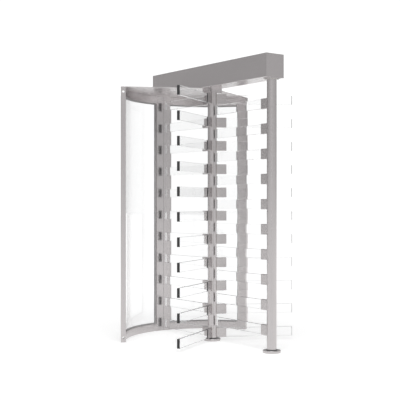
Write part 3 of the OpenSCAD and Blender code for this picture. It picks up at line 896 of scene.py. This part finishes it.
def runs_along(edge: bmesh.types.BMEdge, axis: int, least: float = 0.0) -> bool:
    """Whether an edge is parallel to an axis and at least so long.

    Args:
        edge: The edge.
        axis: 0, 1 or 2 for X, Y or Z.
        least: The least length.

    Returns:
        True if it is.
    """
    way = edge.verts[1].co - edge.verts[0].co
    return way.length > max(least, 1e-9) and abs(way[axis]) > 0.999 * way.length


# ---- blades and clamps ----------------------------------------------------------------------


@dataclass
class BladeStack:
    """Clear blades in steel clamps on one tube, one above the other."""

    label: str
    body: str
    turn: float
    reach: float
    clamp_reach: float
    first: float
    count: int
    nodes: dict[str, tuple[str, ...]]
    centre: Point = (0.0, 0.0, 0.0)
    pitch: float = 0.19538
    tube: float = 0.03805
    blade_start: float = 0.04705
    blade_height: float = 0.075
    blade_thickness: float = 0.022
    clamp_height: float = 0.0822
    clamp_width: float = 0.0292
    clamp_wall: float = 0.0025
    cap_thickness: float = 0.0012
    cap_width: float = 0.024
    air_gap: float = 0.0003
    bead: float = 0.0013
    blade_edge: float = 0.0009
    clamp_fold: float = 0.0030
    clamp_edge: float = 0.0004
    cap_edge: float = 0.00045
    cap_rim: float = 0.0028
    cap_dish: float = 0.00025

    def _stack(self, piece: Piece) -> None:
        """Repeats a piece up the tube and puts it in its place round the tube.

        Args:
            piece: The piece of the lowest level, on a tube at the origin, reaching along +X.
        """
        Bench.repeat(piece, self.count, (0.0, 0.0, self.pitch))
        Bench.place(piece, self.turn, self.centre)

    def blades(self) -> Piece:
        """The blades, with polished and slightly rounded edges."""
        half, high = self.blade_thickness / 2, self.blade_height / 2
        end = self.reach - self.cap_thickness - self.air_gap
        made = Bench.box(f"{self.label}_blades", (self.blade_start, -half, self.first - high),
                         (end, half, self.first + high))
        Bench.round_edges(made, self.blade_edge, 2, lambda edge: True)
        self._stack(made)
        return Bench.finish(made, ACRYLIC, "clear_acrylic", self.body, self.nodes["blades"], smooth=0.0)

    def clamps(self) -> Piece:
        """The folded sleeves, saddled to the tube and open at their far ends."""
        half, high = self.clamp_width / 2, self.clamp_height / 2
        made = Bench.box(f"{self.label}_clamps", (self.tube * 0.7, -half, self.first - high),
                         (self.clamp_reach, half, self.first + high))
        Bench.round_edges(made, self.clamp_fold, 4, lambda edge: runs_along(edge, 0))
        with Bench.editing(made, "FACE"):
            Bench.pick_faces(made, lambda face: abs(face.normal.x) > 0.9)
            bpy.ops.mesh.delete(type="FACE")
        Bench.modify(made, "SOLIDIFY", thickness=self.clamp_wall, offset=-1.0, use_even_offset=True)
        tool = Bench.cylinder("clamp_saddle_tool", self.tube, self.first - self.clamp_height,
                              self.first + self.clamp_height, sides=96)
        Bench.cut(made, tool)
        Bench.soften(made, self.clamp_edge, 1, 60.0)
        self._stack(made)
        return Bench.finish(made, STEEL_CLAMP, "satin_steel", self.body, self.nodes["clamps"])

    def welds(self) -> Piece:
        """The weld round the root of each clamp."""
        half, high = self.clamp_width / 2, self.clamp_height / 2
        side = math.asin(half / self.tube)
        arc = [-side + side * step / 5 for step in range(11)]
        radius = self.tube + self.bead * 0.3
        path = [(radius * math.cos(a), radius * math.sin(a), self.first + high) for a in arc]
        path += [(radius * math.cos(a), radius * math.sin(a), self.first - high) for a in reversed(arc)]
        made = Bench.bead(f"{self.label}_welds", path, self.bead)
        self._stack(made)
        return Bench.finish(made, WELD, "satin_steel", self.body, smooth=60.0)

    def caps(self) -> Piece:
        """The black end strips, with rounded edges and a shallow dished face."""
        half, high = self.cap_width / 2, self.blade_height / 2
        back = self.reach - self.cap_thickness
        made = Bench.box(f"{self.label}_end_caps", (back, -half, self.first - high),
                         (self.reach, half, self.first + high))
        Bench.round_edges(made, self.cap_edge, 2, lambda edge: all(
            abs(vertex.co.x - self.reach) < SAME for vertex in edge.verts))
        with Bench.editing(made, "FACE"):
            Bench.pick_faces(made, lambda face: face.normal.x > 0.9 and face.calc_area() > 0.001)
            bpy.ops.mesh.inset(thickness=self.cap_rim)
            bpy.ops.transform.translate(value=(-self.cap_dish, 0.0, 0.0))
        self._stack(made)
        return Bench.finish(made, CAP_BLACK, "black_caps", self.body, self.nodes["caps"])

    def build(self) -> None:
        """Makes every piece of the stack."""
        self.blades()
        self.clamps()
        self.welds()
        self.caps()


# ---- tubes and feet -------------------------------------------------------------------------


@dataclass
class TubeFoot:
    """The spun cover over a tube's floor plate and the rubber ring on top of it."""

    label: str
    centre: tuple[float, float]
    tube: float = 0.03805
    radius: float = 0.070
    height: float = 0.020
    wall: float = 0.002
    shoulder: float = 0.0035
    overlap: float = 0.002
    burr: float = 0.0004
    rim: float = 0.0006

    def cover(self) -> Piece:
        """The steel cover, with a rounded shoulder and a rolled lower rim."""
        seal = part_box(f"{self.label}_foot_seal")[1].x - self.centre[0]
        r, h, t, s = self.radius, self.height, self.wall, self.shoulder
        outside = [(r - s + s * math.sin(a), h - s + s * math.cos(a))
                   for a in (math.pi / 2 * step / 5 for step in range(6))]
        inside = [(r - s + (s - t) * math.sin(a), h - s + (s - t) * math.cos(a))
                  for a in (math.pi / 2 * step / 3 for step in range(3, -1, -1))]
        lip = seal - self.overlap
        profile = [(lip, h - self.burr), (lip + self.burr, h)] + outside
        profile += [(r, self.rim), (r - self.rim, 0.0), (r - t, 0.0)] + inside + [(lip, h - t)]
        made = Bench.spun(f"{self.label}_cover", profile, self.centre)
        return Bench.finish(made, STEEL_TUBE, "satin_steel", "frame", (f"{self.label}_foot_cover",))

    def seal(self) -> Piece:
        """The rubber ring, with a rounded outer lip."""
        low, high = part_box(f"{self.label}_foot_seal")
        outer = high.x - self.centre[0]
        inner = self.tube + self.rim
        base, top = low.z, high.z
        soft = min(0.0012, (top - base) * 0.4)
        profile = [(inner, base), (outer, base), (outer, top - soft)]
        profile += [(outer - soft * 0.3, top - soft * 0.3), (outer - soft, top)]
        profile += [(inner + soft, top), (inner + soft * 0.3, top - soft * 0.3), (inner, top - soft)]
        made = Bench.spun(f"{self.label}_seal", profile, self.centre)
        return Bench.finish(made, SEAL_RUBBER, "black_seal", "frame", (f"{self.label}_foot_seal",))

    def build(self) -> None:
        """Makes both pieces."""
        self.cover()
        self.seal()


# ---- fasteners ------------------------------------------------------------------------------


@dataclass
class Fasteners:
    """Screws and bolts that show, each kind modelled once and copied."""

    canopy_head: float = 0.006
    canopy_seat: float = 0.003
    canopy_key: float = 0.0022
    canopy_shank: float = 0.003
    canopy_rows: tuple[float, ...] = (-0.64, -0.42, -0.20)
    canopy_half: float = 0.05
    lid_head: float = 0.0025
    lid_key: float = 0.0011
    row_gaps: int = 4
    bolt: float = 0.004
    post_head: float = 0.0075
    post_plate_gap: float = 0.004
    post_nut: float = 0.0065
    joint_head: float = 0.007
    joint_seat: float = 0.005
    joint_nut: float = 0.012

    @staticmethod
    def shank(radius: float, low: float, high: float, sides: int = 32, edge: float = 0.0005) -> Piece:
        """An upright shank with softened ends.

        Args:
            radius: Its radius.
            low: The height of its lower end.
            high: The height of its upper end.
            sides: How many sides it has.
            edge: The radius of its ends' edges.

        Returns:
            The shank.
        """
        made = Bench.cylinder("shank", radius, low, high, sides=sides)
        Bench.soften(made, edge, 1)
        return made

    @staticmethod
    def socket_head(name: str, radius: float, low: float, high: float, key: float) -> Piece:
        """A round head that faces down, with a rounded rim and a six-sided socket.

        Args:
            name: The piece's name.
            radius: The head's radius.
            low: The height of its face.
            high: The height of its seat.
            key: The socket's radius.

        Returns:
            The head, on the upright axis.
        """
        made = Bench.cylinder(name, radius, low, high, sides=40)
        Bench.round_edges(made, min((high - low) * 0.4, radius * 0.25), 3, lambda edge: all(
            abs(vertex.co.z - low) < 1e-5 for vertex in edge.verts))
        depth = min((high - low) * 0.6, radius)
        tool = Bench.cylinder(name + "_tool", key, low - 0.001, low + depth, sides=6)
        Bench.cut(made, tool)
        Bench.soften(made, 0.00015, 1, 50.0)
        return made

    @staticmethod
    def hexagon(name: str, radius: float, low: float, high: float) -> Piece:
        """A six-sided head or nut with turned corners at both faces.

        Args:
            name: The piece's name.
            radius: The radius of its corners.
            low: The height of its lower face.
            high: The height of its upper face.

        Returns:
            The piece, on the upright axis.
        """
        made = Bench.cylinder(name, radius, low, high, sides=6)
        Bench.round_edges(made, (high - low) * 0.12, 2, lambda edge: not runs_along(edge, 2))
        Bench.soften(made, 0.0003, 1, 40.0)
        return made

    def canopy(self) -> Piece:
        """The six screws up through the canopy into the beam."""
        low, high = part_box("canopy_screws")
        seat = low.z + self.canopy_seat
        head = self.socket_head("canopy_socket_screws", self.canopy_head, low.z, seat, self.canopy_key)
        one = Bench.join([head, self.shank(self.canopy_shank, seat, high.z, 24, 0.0004)],
                         "canopy_socket_screws")
        places = [(x, y) for x in self.canopy_rows for y in (-self.canopy_half, self.canopy_half)]
        return self._spread(one, places, "canopy_socket_screws", ("canopy_screws",))

    def lid(self) -> Piece:
        """The countersunk screws along both edges of the beam's lid."""
        low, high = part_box("beam_lid_screws")
        made = self.socket_head("lid_socket_screws", self.lid_head, -high.z, -low.z, self.lid_key)
        made.scale = (1.0, 1.0, -1.0)
        Bench.fix(made)
        with Bench.editing(made):
            bpy.ops.mesh.select_all(action="SELECT")
            bpy.ops.mesh.normals_make_consistent(inside=False)
        first, last = low.x + self.lid_head, high.x - self.lid_head
        rows = (low.y + self.lid_head, high.y - self.lid_head)
        places = [(first + (last - first) * step / self.row_gaps, y)
                  for step in range(self.row_gaps + 1) for y in rows]
        return self._spread(made, places, "lid_socket_screws", ("beam_lid_screws",))

    def post(self) -> Piece:
        """The four bolts up through the post's top plate into the beam."""
        low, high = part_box("post_bolts")
        plate_low, plate_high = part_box("post_top_plate")
        head = self.hexagon("post_hexagon_bolts", self.post_head, low.z, plate_low.z)
        shank = self.shank(self.bolt, plate_low.z, high.z)
        nut_low = plate_high.z + self.post_plate_gap
        nut = self.hexagon("nut", self.post_head, nut_low, nut_low + self.post_nut)
        one = Bench.join([head, shank, nut], "post_hexagon_bolts")
        x = (high.x - low.x) / 2 - self.post_head
        y = high.y - self.post_head * math.cos(math.pi / 6)
        middle = (low.x + high.x) / 2
        return self._spread(one, [(middle + sx * x, sy * y) for sx in (-1, 1) for sy in (-1, 1)],
                            "post_hexagon_bolts", ("post_bolts",))

    def joint(self) -> Piece:
        """The five bolts through the joint between the two panel sections."""
        low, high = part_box("panel_joint_bolts")
        radius, seat = self.joint_head, high.y - self.joint_seat
        middle = (low.x + high.x) / 2
        head = self.hexagon("panel_joint_hexagon_bolts", radius, seat, high.y)
        shank = self.shank(self.bolt, low.y, seat)
        nut = self.hexagon("nut", radius, low.y + self.joint_seat, low.y + self.joint_nut)
        one = Bench.join([head, shank, nut], "panel_joint_hexagon_bolts")
        one.rotation_euler = (-math.pi / 2, 0.0, 0.0)
        bottom = low.z + radius
        one.location = (middle, 0.0, bottom)
        Bench.fix(one)
        pitch = (high.z - low.z - 2 * radius) / self.row_gaps
        Bench.repeat(one, self.row_gaps + 1, (0.0, 0.0, pitch))
        return Bench.finish(one, FASTENER, "zinc_fasteners", "frame", ("panel_joint_bolts",))

    @staticmethod
    def _spread(one: Piece, places: list[tuple[float, float]], name: str, nodes: tuple[str, ...]) -> Piece:
        """Copies one screw to every place.

        Args:
            one: The screw, on the upright axis.
            places: The places, in plan.
            name: The joined piece's name.
            nodes: The CAD nodes that it replaces.

        Returns:
            The joined piece.
        """
        copies = [Bench.twin(one, f"{name}_{number}") for number in range(len(places))]
        for copy, (x, y) in zip(copies, places):
            Bench.place(copy, 0.0, (x, y, 0.0))
        bpy.data.objects.remove(one, do_unlink=True)
        made = Bench.join(copies, name)
        return Bench.finish(made, FASTENER, "zinc_fasteners", "frame", nodes)

    def build(self) -> None:
        """Makes every kind."""
        self.canopy()
        self.lid()
        self.post()
        self.joint()


# ---- beam, hub and canopy -------------------------------------------------------------------


@dataclass
class Beam:
    """The closed beam over the rotor, the hub housing under it and the post's top plate."""

    fold: float = 0.003
    edge: float = 0.0008
    burr: float = 0.0006
    weld: float = 0.0018
    post_x: float = 0.754
    tube: float = 0.03805

    def channel(self) -> Piece:
        """The folded channel, with rounded lower folds."""
        low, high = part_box("beam_channel")
        made = Bench.cad_copy("beam_channel", "beam_folded_channel")
        Bench.round_edges(made, self.fold, 4, lambda edge: runs_along(edge, 0, 0.5) and all(
            abs(abs(vertex.co.y) - high.y) < SAME and abs(vertex.co.z - low.z) < SAME
            for vertex in edge.verts))
        return Bench.finish(made, STEEL_X, "satin_steel", "frame", ("beam_channel",))

    def lid(self) -> Piece:
        """The lid, with softened edges."""
        return softened_copy("beam_lid", "beam_screwed_lid", self.edge, STEEL_X)

    def ends(self) -> Piece:
        """The end plates, with softened edges."""
        return softened_copy("beam_end_plates", "beam_closing_plates", self.edge, STEEL_Z)

    def hub(self) -> Piece:
        """The square housing with open corners, deburred all over."""
        return softened_copy("hub_housing", "hub_square_housing", self.burr, STEEL_Z)

    def top_plate(self) -> Piece:
        """The plate on top of the post, with softened edges."""
        return softened_copy("post_top_plate", "post_bolted_plate", self.edge, STEEL_SHEET)

    def top_weld(self) -> Piece:
        """The weld round the post's top end."""
        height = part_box("post_top_plate")[0].z - self.edge
        turns = [math.tau * step / 72 for step in range(72)]
        path = [(self.post_x + self.tube * math.cos(a), self.tube * math.sin(a), height) for a in turns]
        made = Bench.bead("post_top_weld", path, self.weld)
        return Bench.finish(made, WELD, "satin_steel", "frame", smooth=60.0)

    def canopy(self) -> Piece:
        """The canopy plate, with softened edges."""
        return softened_copy("canopy_plate", "canopy_sector_plate", self.edge, STEEL_CANOPY_PAINTED_LIGHT)

    def build(self) -> None:
        """Makes every piece."""
        for part in (self.channel, self.lid, self.ends, self.hub, self.top_plate, self.top_weld,
                     self.canopy):
            part()


# ---- curved panel ---------------------------------------------------------------------------


@dataclass
class CurvedPanel:
    """The two curved sections of folded steel, glass and rubber."""

    radius: float = 0.725
    fold: float = 0.0018
    edge: float = 0.0004
    burr: float = 0.0006
    ground: float = 0.0010

    def _at_face(self, vertex: bmesh.types.BMVert) -> bool:
        """Whether a corner lies on the panel's inner face."""
        return abs(math.hypot(vertex.co.x, vertex.co.y) - self.radius) < SAME

    def stiles(self) -> Piece:
        """The stiles, rounded where their lips are folded."""
        made = Bench.cad_copy("panel_stiles", "panel_folded_stiles")
        Bench.round_edges(made, self.fold, 3, lambda edge: runs_along(edge, 2, 1.5) and all(
            self._at_face(vertex) for vertex in edge.verts))
        Bench.soften(made, self.edge, 1)
        return Bench.finish(made, STEEL_Z, "satin_steel", "frame", ("panel_stiles",))

    def rails(self) -> Piece:
        """The rails, rounded where their lips are folded."""
        made = Bench.cad_copy("panel_rails", "panel_folded_rails")
        Bench.round_edges(made, self.fold, 3, lambda edge: all(
            self._at_face(vertex) for vertex in edge.verts)
            and abs(edge.verts[0].co.z - edge.verts[1].co.z) < 1e-5)
        Bench.soften(made, self.edge, 1)
        return Bench.finish(made, STEEL_SHEET, "satin_steel", "frame", ("panel_rails",))

    def flanges(self) -> Piece:
        """The drilled end flanges, with softened edges and holes."""
        return softened_copy("panel_end_flanges", "panel_drilled_flanges", self.burr, STEEL_Z)

    def panes(self) -> Piece:
        """The curved panes, with ground edges."""
        return softened_copy("panel_panes", "panel_curved_panes", self.ground, GLASS, "clear_glass")

    def gaskets(self) -> Piece:
        """The rubber channels round the panes, with rounded lips."""
        return softened_copy("panel_gaskets", "panel_rubber_gaskets", self.ground, GASKET_RUBBER, "rubber",
                             angle=50.0)

    def build(self) -> None:
        """Makes every piece."""
        for part in (self.stiles, self.rails, self.flanges, self.panes, self.gaskets):
            part()


# ---- studio ---------------------------------------------------------------------------------


@dataclass
class Studio:
    """A plain pale floor, a white surround and soft light, with the camera at standing height."""

    floor_size: float = 160.0
    eye: Point = (5.896, -4.515, 1.151)
    heading: float = 53.35
    lens: float = 79.6
    shift_y: float = 0.008
    room_low: float = 0.60
    room_high: float = 0.54
    room_turn: float = 0.26
    room_side: float = 0.84
    white: float = 1.09
    lamp: Point = (2.5, -2.2, 5.5)
    lamp_size: float = 4.5
    lamp_power: float = 160.0

    def floor(self) -> None:
        """The floor."""
        bpy.ops.object.select_all(action="DESELECT")
        bpy.ops.mesh.primitive_plane_add(size=self.floor_size, location=(0.0, 0.0, 0.0))
        made = bpy.context.object
        made.name = "studio_floor"
        with Bench.editing(made):
            bpy.ops.mesh.select_all(action="SELECT")
            bpy.ops.mesh.subdivide(number_cuts=3)
        made.data.materials.append(StudioFloor("studio_floor").material())

    def surround(self) -> None:
        """The world: white behind everything, and a softer room in what the steel mirrors."""
        world = bpy.data.worlds.new("studio_surround")
        world.use_nodes = True
        bpy.context.scene.world = world
        sheet = ShaderSheet(world.node_tree)
        way = sheet.node("ShaderNodeTexCoord")["Generated"]
        parts = sheet.node("ShaderNodeSeparateXYZ", None, {"Vector": way})
        rise = parts["Z"].above(0.22, 0.52)
        side = parts["X"].above(0.0, 1.6) - parts["Y"].above(0.0, 1.6) * 0.35
        height = self.room_low - rise * (self.room_low - self.room_high)
        room = height * (side * self.room_turn + self.room_side)
        path = sheet.node("ShaderNodeLightPath")
        mirrored = path["Glossy Depth"].above(0.5, 0.1)
        seen = 1 - (1 - path["Is Camera Ray"]) * (1 - path["Is Transmission Ray"] * (1 - mirrored))
        values = {"Color": (1.0, 1.0, 1.0, 1.0), "Strength": seen * self.white + (1 - seen) * room}
        background = sheet.node("ShaderNodeBackground", None, values)
        sheet.node("ShaderNodeOutputWorld", None, {"Surface": background["Background"]})

    def lights(self) -> None:
        """One broad soft light high over the camera's side."""
        bpy.ops.object.select_all(action="DESELECT")
        bpy.ops.object.light_add(type="AREA", location=self.lamp)
        made = bpy.context.object
        made.name = "soft_overhead_light"
        made.data.shape = "DISK"
        made.data.size = self.lamp_size
        made.data.energy = self.lamp_power
        aim = Vector((0.0, 0.0, 1.0)) - made.location
        made.rotation_euler = aim.to_track_quat("-Z", "Y").to_euler()

    def camera(self) -> None:
        """The camera, level, with a long lens."""
        bpy.ops.object.select_all(action="DESELECT")
        turn = (math.pi / 2, 0.0, math.radians(self.heading))
        bpy.ops.object.camera_add(location=self.eye, rotation=turn)
        made = bpy.context.object
        made.name = "standing_camera"
        made.data.lens = self.lens
        made.data.sensor_width = 36.0
        made.data.shift_y = self.shift_y
        made.data.clip_end = 300.0
        bpy.context.scene.camera = made

    def build(self) -> None:
        """Makes the studio."""
        bpy.context.scene.view_settings.view_transform = "Standard"
        self.camera()
        self.floor()
        self.surround()
        self.lights()


# ---- the whole turnstile --------------------------------------------------------------------


@dataclass
class Turnstile:
    """The whole turnstile, as its sub-assemblies."""

    lowest: float = 0.0691
    half_pitch: float = 0.09769
    levels: int = 11
    wing_reach: float = 0.680
    wing_clamp: float = 0.118
    comb_reach: float = 0.683
    comb_clamp: float = 0.112
    post: tuple[float, float] = (0.754, 0.0)

    def blades(self) -> None:
        """The three wings and the fixed comb between their levels."""
        for letter, turn in (("a", 300.0), ("b", 60.0), ("c", 180.0)):
            nodes = {"blades": (f"rotor_blades_{letter}",), "clamps": (f"rotor_clamps_{letter}",),
                     "caps": ("rotor_caps",)}
            BladeStack(f"wing_{letter}", "rotor", turn, self.wing_reach, self.wing_clamp, self.lowest,
                       self.levels, nodes).build()
        nodes = {"blades": ("barrier_blades",), "clamps": ("barrier_clamps",), "caps": ("barrier_caps",)}
        BladeStack("comb", "frame", 180.0, self.comb_reach, self.comb_clamp, self.lowest + self.half_pitch,
                   self.levels - 1, nodes, centre=(*self.post, 0.0)).build()

    def build(self) -> None:
        """Makes every sub-assembly in order."""
        self.blades()
        TubeFoot("rotor", (0.0, 0.0)).build()
        TubeFoot("post", self.post).build()
        Fasteners().build()
        Beam().build()
        CurvedPanel().build()


def dress_cad_nodes() -> None:
    """Gives every CAD node a finish by its material slot."""
    for name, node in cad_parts.items():
        for slot in node.material_slots:
            known = slot.material.name.split(".")[0] if slot.material else ""
            finish = NODE_FINISHES.get(name) or SLOT_FINISHES.get(known)
            if finish is not None:
                slot.material = finish.material()
        LOG.info("%s: CAD node dressed", name)


def main() -> None:
    """Builds the turnstile's looks and the studio round it."""
    logging.basicConfig(level=logging.INFO, format="%(name)s: %(message)s")
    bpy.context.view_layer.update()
    Studio().build()
    dress_cad_nodes()
    Turnstile().build()


if __name__ == "__main__":
    main()
